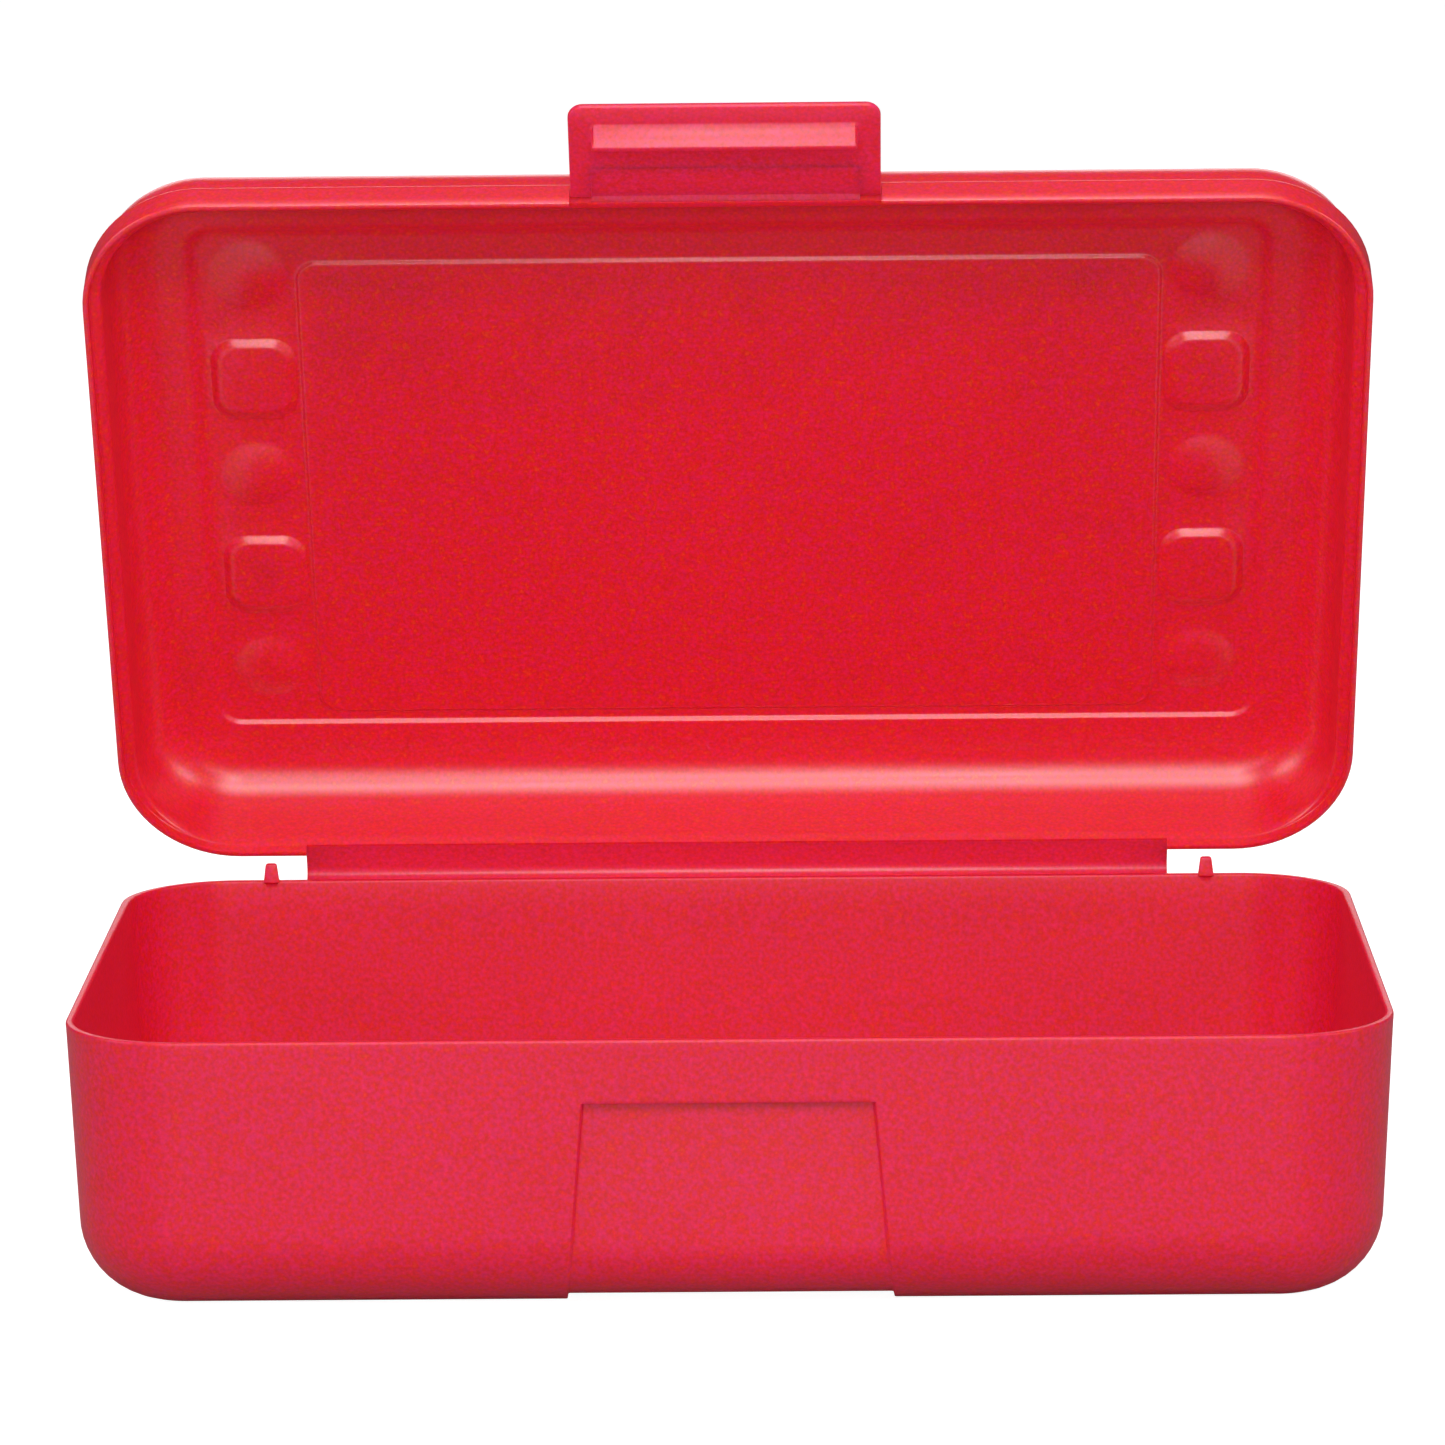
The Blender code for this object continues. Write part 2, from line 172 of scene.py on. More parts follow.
# Main hinge
HINGE_DROP = 1.75 * MM
HINGE_BEND = 2.1 * MM
HINGE_RISE = 0.33 * MM
HINGE_CURL_STEPS = 18
HINGE_FOLD_STEP = 11
HINGE_THICKENING_STEPS = 9
HINGE_THIN_HALF = 0.2 * MM
HINGE_ROOT = ((-0.8, 0.75), (0.1, 0.68), (1.6, 0.35), (3.1, 0.07))  # distance behind the tub, lift
HINGE_SPANS = (2.4, 3.2, 4.0, 4.8, 5.4)
HINGE_END = ((1.0, 0.35), (0.9994, 0.12), (0.998, 0.0))  # share of the width, thinning

# Latch
LATCH_HALF = 25.75 * MM
LATCH_INNER = 0.7 * MM
LATCH_TOP = -0.05 * MM
LATCH_TIP = -19.0 * MM
LATCH_CORNER = 2.5 * MM
# Offset from the inner face, then from the outer face, each with the growth of the outline
LATCH_INNER_EDGE = ((0.0, -0.3), (0.09, -0.09), (0.3, 0.0))
LATCH_OUTER_EDGE = ((-0.35, 0.0), (-0.1, -0.1), (0.0, -0.35))
NOTCH_SIDE = 0.15 * MM
NOTCH_RISE = 2.2 * MM
NOTCH_DEPTH = 1.4 * MM
WEB_HALF = 22.25 * MM
WEB_OVERLAP = 0.05 * MM
WEB_BOTTOM = -5.9 * MM
WEB_FOLD_STEPS = 8
WEB_BOW_STEPS = 14
WEB_THIN_HALF = 0.17 * MM
WEB_THICKENING = 0.2 * MM
CATCH_HALF = 22.0 * MM
CATCH_TOP = -11.65 * MM
CATCH_BOTTOM = -15.4 * MM
CATCH_CORNER = 0.5 * MM
CATCH_REACH = 2.5 * MM
CATCH_LAND = 0.95 * MM
# Growth of the bar's outline, height off the flap
CATCH_FOOT = ((0.35, 0.0), (0.12, 0.03), (0.0, 0.12))
# Inset at the sides, share of the land's width, drop from the bar's top, height short of its reach
CATCH_CROWN = ((0.15, 1.1, 0.05, 0.17), (0.24, 1.0, 0.11, 0.05), (0.4, 0.85, 0.25, 0.0))

SHARP_ANGLE = 50
CORNER_STEPS = 18
SIDE_STEPS = 6
FILLET_STEPS = 12
BOSS_STEPS = 40


# ---- materials ----


def moulded_plastic(name, colour, roughness, shine, grain, translucency, depth):
    """Injection-moulded polypropylene: fine grain, faint flow mottling, a soft gloss, and light
    that soaks in to the given depth."""
    material = bpy.data.materials.new(name)
    material.use_nodes = True
    nodes = material.node_tree.nodes
    links = material.node_tree.links
    shader = nodes["Principled BSDF"]
    place = nodes.new("ShaderNodeTexCoord")

    def noise(scale, detail):
        texture = nodes.new("ShaderNodeTexNoise")
        texture.inputs["Scale"].default_value = scale
        texture.inputs["Detail"].default_value = detail
        links.new(place.outputs["Object"], texture.inputs["Vector"])
        return texture

    def spread(source, middle, swing):
        """Stretch a noise, which is mostly between 0.3 and 0.7, to swing about a middle value."""
        stretch = nodes.new("ShaderNodeMapRange")
        stretch.inputs["From Min"].default_value = 0.3
        stretch.inputs["From Max"].default_value = 0.7
        stretch.inputs["To Min"].default_value = middle - swing
        stretch.inputs["To Max"].default_value = middle + swing
        links.new(source.outputs["Fac"], stretch.inputs["Value"])
        return stretch

    fine = noise(1600.0, 3.0)
    flow = noise(28.0, 3.0)
    speckle = spread(fine, 1.0, 0.11)
    mottle = spread(flow, 1.0, 0.015)
    tint = spread(noise(1100.0, 2.0), 0.5, 0.012)
    brightness = nodes.new("ShaderNodeMath")
    brightness.operation = "MULTIPLY"
    links.new(speckle.outputs["Result"], brightness.inputs[0])
    links.new(mottle.outputs["Result"], brightness.inputs[1])
    tone = nodes.new("ShaderNodeHueSaturation")
    tone.inputs["Color"].default_value = (*colour, 1.0)
    links.new(tint.outputs["Result"], tone.inputs["Hue"])
    links.new(brightness.outputs["Value"], tone.inputs["Value"])
    links.new(tone.outputs["Color"], shader.inputs["Base Color"])
    gloss = spread(flow, roughness, 0.015)
    links.new(gloss.outputs["Result"], shader.inputs["Roughness"])
    bump = nodes.new("ShaderNodeBump")
    bump.inputs["Strength"].default_value = grain
    bump.inputs["Distance"].default_value = 0.05 * MM
    links.new(fine.outputs["Fac"], bump.inputs["Height"])
    links.new(bump.outputs["Normal"], shader.inputs["Normal"])
    shader.inputs["IOR"].default_value = 1.49
    shader.inputs["Specular IOR Level"].default_value = shine
    shader.inputs["Subsurface Weight"].default_value = translucency
    shader.inputs["Subsurface Radius"].default_value = (1.0, 0.25, 0.3)
    shader.inputs["Subsurface Scale"].default_value = depth
    return material


RED = (0.735, 0.008, 0.045)
# Painted light: the lid is the same plastic as the base, but its red is painted lighter to stand in
# for light on the lid's shaded inside.
LID_RED_PAINTED_LIGHTER = (0.82, 0.011, 0.036)
# Painted light: the hinge and the latch are the same plastic as well; their paler, pinker red is
# painted sheen and light shining through the thin strips.
THIN_PART_RED_PAINTED_PINKER = (0.82, 0.022, 0.080)
BASE_PLASTIC = moulded_plastic(
    "base_plastic", RED,
    roughness=0.42, shine=0.5, grain=0.25, translucency=0.15, depth=1.5 * MM)
LID_PLASTIC = moulded_plastic(
    "lid_plastic", LID_RED_PAINTED_LIGHTER,
    roughness=0.33, shine=1.0, grain=0.22, translucency=0.15, depth=1.5 * MM)
HINGE_PLASTIC = moulded_plastic(
    "hinge_plastic", THIN_PART_RED_PAINTED_PINKER,
    roughness=0.36, shine=0.9, grain=0.12, translucency=0.35, depth=2.0 * MM)
LATCH_PLASTIC = moulded_plastic(
    "latch_plastic", THIN_PART_RED_PAINTED_PINKER,
    roughness=0.36, shine=0.7, grain=0.15, translucency=0.75, depth=4.0 * MM)


# ---- mesh tools ----


def smooth(item, sharp):
    """Shade an object's faces smooth, with creases at edges sharper than an angle."""
    item.data.shade_smooth()
    item.data.set_sharp_from_angle(angle=math.radians(sharp))


def finish(name, shape, material, sharp=SHARP_ANGLE):
    """Weld, turn the faces outwards and shade a bmesh, and make it an object."""
    bmesh.ops.remove_doubles(shape, verts=shape.verts, dist=0.002 * MM)
    bmesh.ops.recalc_face_normals(shape, faces=shape.faces)
    mesh = bpy.data.meshes.new(name)
    shape.to_mesh(mesh)
    shape.free()
    mesh.materials.append(material)
    item = bpy.data.objects.new(name, mesh)
    bpy.context.scene.collection.objects.link(item)
    smooth(item, sharp)
    return item


def cut_box(item, low, high):
    """Cut the box between two corners out of an object's mesh."""
    shape = bmesh.new()
    bmesh.ops.create_cube(shape, size=1.0)
    cutter = finish("cutter", shape, item.data.materials[0])
    low = Vector(low)
    high = Vector(high)
    place = Matrix.Translation((low + high) / 2)
    size = Matrix.Diagonal((*(high - low), 1.0))
    cutter.data.transform(place @ size)
    cut = item.modifiers.new("cut", "BOOLEAN")
    cut.operation = "DIFFERENCE"
    cut.solver = "EXACT"
    cut.object = cutter
    graph = bpy.context.evaluated_depsgraph_get()
    mesh = bpy.data.meshes.new_from_object(item.evaluated_get(graph))
    item.modifiers.clear()
    item.data = mesh
    bpy.data.objects.remove(cutter, do_unlink=True)


def add_rings(shape, rings):
    """Skin a list of closed point rings and return their loops of vertices."""
    loops = [[shape.verts.new(point) for point in ring] for ring in rings]
    count = len(loops[0])
    for lower, upper in zip(loops, loops[1:]):
        for index in range(count):
            after = (index + 1) % count
            shape.faces.new((lower[index], lower[after], upper[after], upper[index]))
    return loops


def add_closed_skin(shape, rings):
    """Skin a list of closed point rings and cap both ends."""
    loops = add_rings(shape, rings)
    shape.faces.new(loops[0])
    shape.faces.new(loops[-1])


def add_patch(shape, loops):
    """A surface through stacked closed loops of points, seen from above, with one outer loop."""
    flat = []
    edges = []
    for loop in loops:
        first = len(flat)
        count = len(loop)
        flat += loop
        edges += [(first + index, first + (index + 1) % count) for index in range(count)]
    plane = [Vector(point[:2]) for point in flat]
    _, _, faces, origins, _, _ = delaunay_2d_cdt(plane, edges, [], 1, 1e-9)
    verts = [shape.verts.new(flat[sources[0]]) for sources in origins]
    for face in faces:
        shape.faces.new([verts[index] for index in face])


def swing(item, axis, degrees):
    """Bake a turn about the X axis, then a move to a hinge axis, into an object's mesh."""
    turn = Matrix.Rotation(-math.radians(degrees), 4, "X")
    item.data.transform(Matrix.Translation(axis) @ turn)


def arc(centre, radius, start, stop, steps):
    """(u, v) points round a centre, angles in degrees."""
    points = []
    for step in range(steps + 1):
        angle = math.radians(start + (stop - start) * step / steps)
        u = centre[0] + radius * math.cos(angle)
        v = centre[1] + radius * math.sin(angle)
        points.append((u, v))
    return points


def circle(centre, radius):
    return arc(centre, radius, 0, 360, BOSS_STEPS)[:-1]


def outline(half_x, front, rear, corner, steps=CORNER_STEPS, front_xs=(), side_steps=SIDE_STEPS):
    """Anticlockwise rectangle with round corners, starting at the left end of its front side."""
    left = corner - half_x
    right = half_x - corner
    length = rear - front - 2 * corner
    points = [(left, front)]
    points += [(x, front) for x in front_xs]
    points += arc((right, front + corner), corner, -90, 0, steps)
    for step in range(1, side_steps):
        points.append((half_x, front + corner + length * step / side_steps))
    points += arc((right, rear - corner), corner, 0, 90, steps)
    for step in range(1, side_steps):
        points.append((right + (left - right) * step / side_steps, rear))
    points += arc((left, rear - corner), corner, 90, 180, steps)
    for step in range(1, side_steps):
        points.append((-half_x, rear - corner - length * step / side_steps))
    points += arc((left, front + corner), corner, 180, 270, steps)[:-1]
    return points


def bezier(start, first_pull, last_pull, end, steps):
    points = []
    for step in range(steps + 1):
        done = step / steps
        left = 1 - done
        point = [
            left ** 3 * a + 3 * left ** 2 * done * b + 3 * left * done ** 2 * c + done ** 3 * d
            for a, b, c, d in zip(start, first_pull, last_pull, end)
        ]
        points.append(tuple(point))
    return points


def thick_line(points, halves):
    """Offset a (y, z) line to both sides and return one closed ring of (y, z) points."""
    left = []
    right = []
    for index, (y, z) in enumerate(points):
        before = Vector(points[max(index - 1, 0)])
        after = Vector(points[min(index + 1, len(points) - 1)])
        along = (after - before).normalized()
        side = Vector((-along.y, along.x)) * halves[index]
        left.append((y + side.x, z + side.y))
        right.append((y - side.x, z - side.y))
    return left + right[::-1]


def on_body(y, z, axis, degrees):
    """(y, z) in the row frame of a point on a body that has been swung about its hinge axis."""
    angle = math.radians(degrees)
    turned_y = y * math.cos(angle) + z * math.sin(angle)
    turned_z = z * math.cos(angle) - y * math.sin(angle)
    return (axis.y + turned_y, axis.z + turned_z)


# ---- base ----


def wall_inset(z):
    return DRAFT * (RIM - z)


def recess_columns(half, softness, end):
    """(x, share of the recess's depth) along the front side, between its corners."""
    edge = [(half + offset * softness, share) for offset, share in RECESS_EDGE]
    outermost = edge[0][0]
    innermost = edge[-1][0]
    plain = [(end + (outermost - end) * step / 5, 0.0) for step in range(1, 5)]
    left = [(-x, share) for x, share in plain + edge]
    middle = [(-innermost + 2 * innermost * step / 6, 1.0) for step in range(1, 6)]
    right = [(-x, share) for x, share in reversed(left)]
    return left + middle + right


def tray_ring(plain, sunk, grow):
    """One ring of the tray. plain and sunk are (inset, z) outside and inside the recess; grow
    widens the recess, for the inner face of the wall."""
    inset, z = plain
    sunk_inset, sunk_z = sunk
    corner = max(BASE_CORNER - inset, BASE_CORNER_LEAST)
    # The recess's side edges are crisp outside and soft inside
    softness = 3.0 * MM if grow else 1.0 * MM
    columns = recess_columns(
        RECESS_HALF - RECESS_TAPER * z + grow, softness, BASE_HALF_X - inset - corner)
    points = outline(
        BASE_HALF_X - inset, inset - REAR, REAR - inset, corner, front_xs=[x for x, _ in columns])
    ring = [(x, y, z) for x, y in points]
    for index, (x, share) in enumerate(columns, 1):
        y = inset + (sunk_inset - inset) * share - REAR
        ring[index] = (x, y, z + (sunk_z - z) * share)
    return ring


def tray_floor(thickness):
    """Pairs of plain and sunk points on the floor, from its middle towards the wall."""
    floor = BASE_FLOOR if thickness else 0.0
    under = RECESS_UNDER + thickness
    run_out = wall_inset(RECESS_TOP) + RECESS_DEPTH + RECESS_FILLET + RECESS_RUN_OUT
    flat = [(run_out + beyond * MM, floor) for beyond in (14.0, 5.0, 1.5)]
    pairs = [(point, point) for point in flat]
    pairs.append(((run_out, floor), (run_out - 0.5 * MM, floor + 0.05 * MM)))
    pairs.append(((run_out - 3.0 * MM, floor), (run_out - 4.5 * MM, (floor + under) / 2)))
    return pairs


def tray_fillet(thickness):
    """Pairs of plain and sunk points round the bottom edge, from the floor up to the wall."""
    floor = BASE_FLOOR if thickness else 0.0
    centre = wall_inset(BASE_FILLET) + BASE_FILLET
    sunk_centre = wall_inset(RECESS_TOP) + RECESS_DEPTH + RECESS_FILLET
    sunk_radius = RECESS_FILLET - thickness
    pairs = []
    for step in range(FILLET_STEPS + 1):
        angle = math.radians(90 * step / FILLET_STEPS)
        plain = (
            centre - (BASE_FILLET - thickness) * math.sin(angle),
            BASE_FILLET - (BASE_FILLET - floor) * math.cos(angle),
        )
        sunk = (
            sunk_centre - sunk_radius * math.sin(angle),
            RECESS_UNDER + RECESS_FILLET - sunk_radius * math.cos(angle),
        )
        pairs.append((plain, sunk))
    return pairs


def tray_wall(thickness):
    """Pairs of plain and sunk points up the wall and over its half of the round rim."""
    sunk_face = wall_inset(RECESS_TOP) + RECESS_DEPTH + thickness
    top = RECESS_TOP + thickness
    pairs = []
    for height in (20.0, 27.0, 32.0, 33.8):
        z = height * MM
        pairs.append(((wall_inset(z) + thickness, z), (sunk_face, z)))
    for plain_height, share, sunk_height in RECESS_LEDGE:
        z = top + plain_height * MM
        inset = wall_inset(z) + thickness
        sunk_inset = inset + (sunk_face - inset) * share
        pairs.append(((inset, z), (sunk_inset, top + sunk_height * MM)))
    above = [(wall_inset(height * MM) + thickness, height * MM) for height in (38.0, 41.5, 44.0)]
    for across, drop in RIM_ROUND:
        inset = WALL - across * MM if thickness else across * MM
        above.append((inset, RIM - drop * MM))
    return pairs + [(point, point) for point in above]


def tray_side(thickness):
    """Rings of the tray's outside, or of its inside at a thickness, from the floor to the rim."""
    pairs = tray_floor(thickness) + tray_fillet(thickness) + tray_wall(thickness)
    return [tray_ring(plain, sunk, thickness) for plain, sunk in pairs]


def make_tray():
    shape = bmesh.new()
    add_closed_skin(shape, tray_side(0.0) + tray_side(WALL)[::-1])
    tray = finish("tray", shape, BASE_PLASTIC)
    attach(tray, "base")
    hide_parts("base_tub")


def make_peg(side):
    """A tapered blade with a flared foot, on the inner face of the rear wall."""
    low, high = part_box("locating_peg_" + side)
    middle = (low.x + high.x) / 2 + PEG_SHIFT
    foot_half = (high.x - low.x) / 2
    front = (low.y + high.y) / 2 - 0.05 * MM
    back = REAR - 0.8 * WALL
    face = REAR - WALL
    # Height, half width, y of the front face
    levels = (
        (low.z, 0.8 * PEG_HALF, face + 0.15 * MM),
        (low.z + 0.9 * MM, 0.9 * PEG_HALF, face - 0.02 * MM),
        (RIM - 0.6 * MM, PEG_HALF, face - 0.08 * MM),
        (RIM - 0.1 * MM, foot_half, front),
        (RIM + 0.05 * MM, foot_half, front),
        (RIM + 0.35 * MM, 0.93 * foot_half, front),
        (high.z - 0.6 * MM, 1.03 * PEG_HALF, front + 0.1 * MM),
        (high.z - 0.25 * MM, 0.96 * PEG_HALF, front + 0.14 * MM),
        (high.z - 0.07 * MM, 0.82 * PEG_HALF, front + 0.22 * MM),
        (high.z, 0.6 * PEG_HALF, front + 0.36 * MM),
    )
    rings = []
    for z, half_x, near in levels:
        far = max(back - max(z - RIM, 0.0) * PEG_LEAN, near + PEG_THINNEST)
        points = outline(half_x, near, far, PEG_CORNER, steps=4, side_steps=2)
        rings.append([(middle + x, y, z) for x, y in points])
    shape = bmesh.new()
    add_closed_skin(shape, rings)
    peg = finish("peg_" + side, shape, BASE_PLASTIC)
    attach(peg, "base")
    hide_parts("locating_peg_" + side)


# ---- lid, around its hinge axis ----


def lid_ring(inset, rear_inset, rise):
    corner = LID_CORNER - inset
    half_x = LID_HALF - inset
    front_xs = [(half_x - corner) * share for share in (-0.66, -0.33, 0.0, 0.33, 0.66)]
    points = outline(
        half_x, inset - LID_FRONT, -LID_REAR - rear_inset, corner, front_xs=front_xs)
    return [(x, y, LEDGE_Z + rise) for x, y in points]


def skirt_ring(inset, rise):
    return lid_ring(inset, inset, rise)


def wall_ring(rise, thickness=0.0):
    """A ring of the lid's side wall, on its outside or at a thickness in from it."""
    inset = DOME_SLOPE * rise + thickness
    return lid_ring(SIDE_STEP + inset, REAR_STEP + inset, rise)


def dome_fillet(thickness):
    """Rings of the round edge, from the side wall up to the flat border."""
    centre_rise = LID_RISE - PLATEAU_LIFT - DOME_FILLET
    centre = DOME_SLOPE * centre_rise + DOME_FILLET
    radius = DOME_FILLET - thickness
    rings = []
    for step in range(FILLET_STEPS + 1):
        angle = math.radians(90 * step / FILLET_STEPS)
        inset = centre - radius * math.cos(angle)
        rise = centre_rise + radius * math.sin(angle)
        rings.append(lid_ring(SIDE_STEP + inset, REAR_STEP + inset, rise))
    return rings


def lid_outside():
    """Rings from the flat border down the wall, over the shoulder and down to the skirt's edge."""
    foot = SIDE_STEP + DOME_SLOPE * SHOULDER_RISE
    rear_foot = REAR_STEP + DOME_SLOPE * SHOULDER_RISE
    rings = dome_fillet(0.0)[::-1]
    rings += [wall_ring(rise * MM) for rise in (6.0, 4.9, 4.5)]
    for share, height in SHOULDER_FLAT:
        rings.append(lid_ring(foot * share, rear_foot * share, SHOULDER_RISE + height * MM))
    for inset, drop in SHOULDER_ROUND:
        rings.append(skirt_ring(inset * MM, SHOULDER_RISE - drop * MM))
    rings.append(skirt_ring(0.0, 0.0))
    rings.append(skirt_ring(0.0, 0.4 * MM - SKIRT_DROP))
    rings.append(skirt_ring(0.08 * MM, 0.12 * MM - SKIRT_DROP))
    rings.append(skirt_ring(0.3 * MM, -SKIRT_DROP))
    return rings


def lid_inside():
    """Rings from the skirt's edge up over the soft lip and the wall to the flat border."""
    rings = [
        skirt_ring(SKIRT_WALL - 0.25 * MM, -SKIRT_DROP),
        skirt_ring(SKIRT_WALL - 0.06 * MM, 0.06 * MM - SKIRT_DROP),
        skirt_ring(SKIRT_WALL, 0.3 * MM - SKIRT_DROP),
    ]
    rings += [lid_ring(inset * MM, rear * MM, rise * MM) for inset, rear, rise in LIP]
    rings += [wall_ring(rise * MM, WALL) for rise in (2.4, 4.0, 6.0)]
    return rings + dome_fillet(WALL)


def panel_loops(panel, low, high, side_softness):
    """Loops of a step between two heights round a panel, from outside to inside. The step stays
    crisp towards the hinge; side_softness widens it on the other three sides."""
    half_x, rear, front, corner = panel
    loops = []
    for offset, share in PANEL_STEP:
        rear_grow = PANEL_REAR_SOFTNESS * offset * MM
        grow = side_softness * offset * MM
        near = -LID_REAR - front - grow
        far = rear_grow - LID_REAR - rear
        z = LEDGE_Z + low + (high - low) * share
        points = outline(half_x + grow, near, far, corner + grow, steps=8)
        loops.append([(x, y, z) for x, y in points])
    return loops


def square_loops(x, y, skin, shrink):
    """A pad with a round slope of about 45 degrees on its latch side and softer ones elsewhere."""
    half = SQUARE_HALF - shrink
    loops = []
    for offset, share in SQUARE_SLOPE:
        grow = offset * MM
        side_grow = grow if offset > 0 else 1.7 * grow
        corner = max(SQUARE_CORNER - shrink + grow, SQUARE_CORNER_LEAST)
        points = outline(
            half + side_grow, -half - grow, half + SQUARE_TAIL + 2.0 * grow, corner,
            steps=8, side_steps=2)
        z = LEDGE_Z + skin - BOSS_DEPTH * share
        loops.append([(x + u, y + v, z) for u, v in points])
    return loops


def dome_loops(x, y, skin, shrink):
    """A shallow ball cap with a hollow foot."""
    radius = DOME_RADIUS - shrink
    cap = [(share, 1.0 - share * share) for share in DOME_CAP]
    loops = []
    for share, lift in [*DOME_FOOT, *cap]:
        z = LEDGE_Z + skin - BOSS_DEPTH * lift
        loops.append([(u, v, z) for u, v in circle((x, y), radius * share)])
    return loops


def boss_loops(thickness):
    """Loops of the domes and squares inside the lid, or of the dents they leave in its outside."""
    skin = LID_RISE - thickness
    shrink = WALL - thickness
    loops = []
    for side in (-1, 1):
        for index in range(BOSS_COUNT):
            x = side * BOSS_X
            y = -LID_REAR - BOSS_FIRST - index * BOSS_PITCH
            one_boss = square_loops if index % 2 else dome_loops
            loops += one_boss(x, y, skin, shrink)
    return loops


def add_lid_top(shape, border, thickness):
    """Fill the lid's top inside its border with the plateau, label panel, domes and squares."""
    top = LID_RISE - thickness
    loops = [border]
    loops += panel_loops(PLATEAU, top - PLATEAU_LIFT, top, PLATEAU_SOFTNESS)
    loops += panel_loops(LABEL, top, top - LABEL_SINK, LABEL_SOFTNESS)
    loops += boss_loops(thickness)
    add_patch(shape, loops)


def cut_latch_notch(lid):
    """Open the skirt and the ledge at the front for the latch."""
    half = LATCH_HALF + NOTCH_SIDE
    low = (-half, -LID_FRONT - MM, LEDGE_Z - SKIRT_DROP - MM)
    high = (half, NOTCH_DEPTH - LID_FRONT, LEDGE_Z + NOTCH_RISE)
    cut_box(lid, low, high)


def cut_hinge_gap(lid):
    """Take the skirt away along the rear, up to the ledge, where the hinge's web comes in."""
    half = HINGE_HALF - 0.15 * MM
    low = (-half, -LID_REAR - SKIRT_WALL - 0.5 * MM, LEDGE_Z - SKIRT_DROP - MM)
    high = (half, MM - LID_REAR, LEDGE_Z - 0.02 * MM)
    cut_box(lid, low, high)


def make_lid():
    shape = bmesh.new()
    outside = lid_outside()
    inside = lid_inside()
    add_rings(shape, outside + inside)
    add_lid_top(shape, outside[0], 0.0)
    add_lid_top(shape, inside[-1], WALL)
    lid = finish("lid", shape, LID_PLASTIC)
    cut_latch_notch(lid)
    cut_hinge_gap(lid)
    smooth(lid, SHARP_ANGLE)
    swing(lid, LID_AXIS, LID_OPEN)
    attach(lid, "lid")
    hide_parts("lid_shell")


def lid_point(span, rise):
    """(y, z) in the row frame of a point on the open lid."""
    return on_body(-span, LEDGE_Z + rise, LID_AXIS, LID_OPEN)


# ---- main hinge: one web from the base's rim to the lid's rear wall ----


def make_hinge_web():
    """A strip that leaves the tub's rear rim, curls round the fold and runs into the lid's ledge."""
    leaf_z = RIM - HINGE_DROP
    open_angle = math.radians(LID_OPEN)
    # The curl is tangent to the level root below it and to the strip's landing on the lid's ledge
    normal = Vector((math.sin(open_angle), math.cos(open_angle)))
    centre_z = leaf_z + HINGE_BEND
    reach = Vector(lid_point(0.0, HINGE_RISE)).dot(normal) - HINGE_BEND
    centre = ((reach - centre_z * normal.y) / normal.x, centre_z)
    root = [(REAR + behind * MM, leaf_z + lift * MM) for behind, lift in HINGE_ROOT]
    curl = arc(centre, HINGE_BEND, -90, 90 - LID_OPEN, HINGE_CURL_STEPS)
    landing = [lid_point(span * MM, HINGE_RISE) for span in HINGE_SPANS]
    line = root + curl + landing
    fold = len(root) + HINGE_FOLD_STEP
    # The strip is thinnest at the fold and doubles in thickness away from it
    halves = []
    for index in range(len(line)):
        away = min(abs(index - fold) / HINGE_THICKENING_STEPS, 1.0)
        halves.append(HINGE_THIN_HALF * (1 + away))
    ends = [(-share, thinning) for share, thinning in HINGE_END] + list(reversed(HINGE_END))
    sections = []
    for share, thinning in ends:
        ring = thick_line(line, [half * (1 - thinning) for half in halves])
        sections.append([(share * HINGE_HALF, y, z) for y, z in ring])
    shape = bmesh.new()
    add_closed_skin(shape, sections)
    web = finish("hinge_web", shape, HINGE_PLASTIC)
    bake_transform(web)
    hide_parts("hinge_base_leaf", "hinge_film", "hinge_lid_leaf")


# ---- latch, around its own hinge axis ----


def flap_outline(grow):
    """The flap with an opening for the web in its top side. grow moves its outer sides out."""
    side = LATCH_HALF + grow
    tip = LATCH_TIP - grow
    top = LATCH_TOP + grow
    corner = LATCH_CORNER + grow
    middle = (tip + top) / 2
    opening = WEB_HALF - WEB_OVERLAP
    opening_end = WEB_BOTTOM - 0.3 * MM
    points = arc((side - corner, tip + corner), corner, -90, 0, 8)
    points += [(side, middle), (side, top), (opening, top), (opening, opening_end)]
    points += [(-opening, opening_end), (-opening, top), (-side, top), (-side, middle)]
    points += arc((corner - side, tip + corner), corner, 180, 270, 8)
    return points


def catch_loops(face):
    """Loops of the catch bar, from its foot on the flap's inner face out to its narrow land."""
    loops = []
    for offset, height in CATCH_FOOT:
        grow = offset * MM
        points = outline(
            CATCH_HALF + grow, CATCH_BOTTOM - grow, CATCH_TOP + grow, CATCH_CORNER + grow, steps=4)
        loops.append([(x, y, face - height * MM) for x, y in points])
    for inset, share, drop, short in CATCH_CROWN:
        side = inset * MM
        points = outline(
            CATCH_HALF - side, CATCH_TOP - share * CATCH_LAND, CATCH_TOP - drop * MM,
            CATCH_CORNER - side, steps=4)
        loops.append([(x, y, face - CATCH_REACH + short * MM) for x, y in points])
    return loops


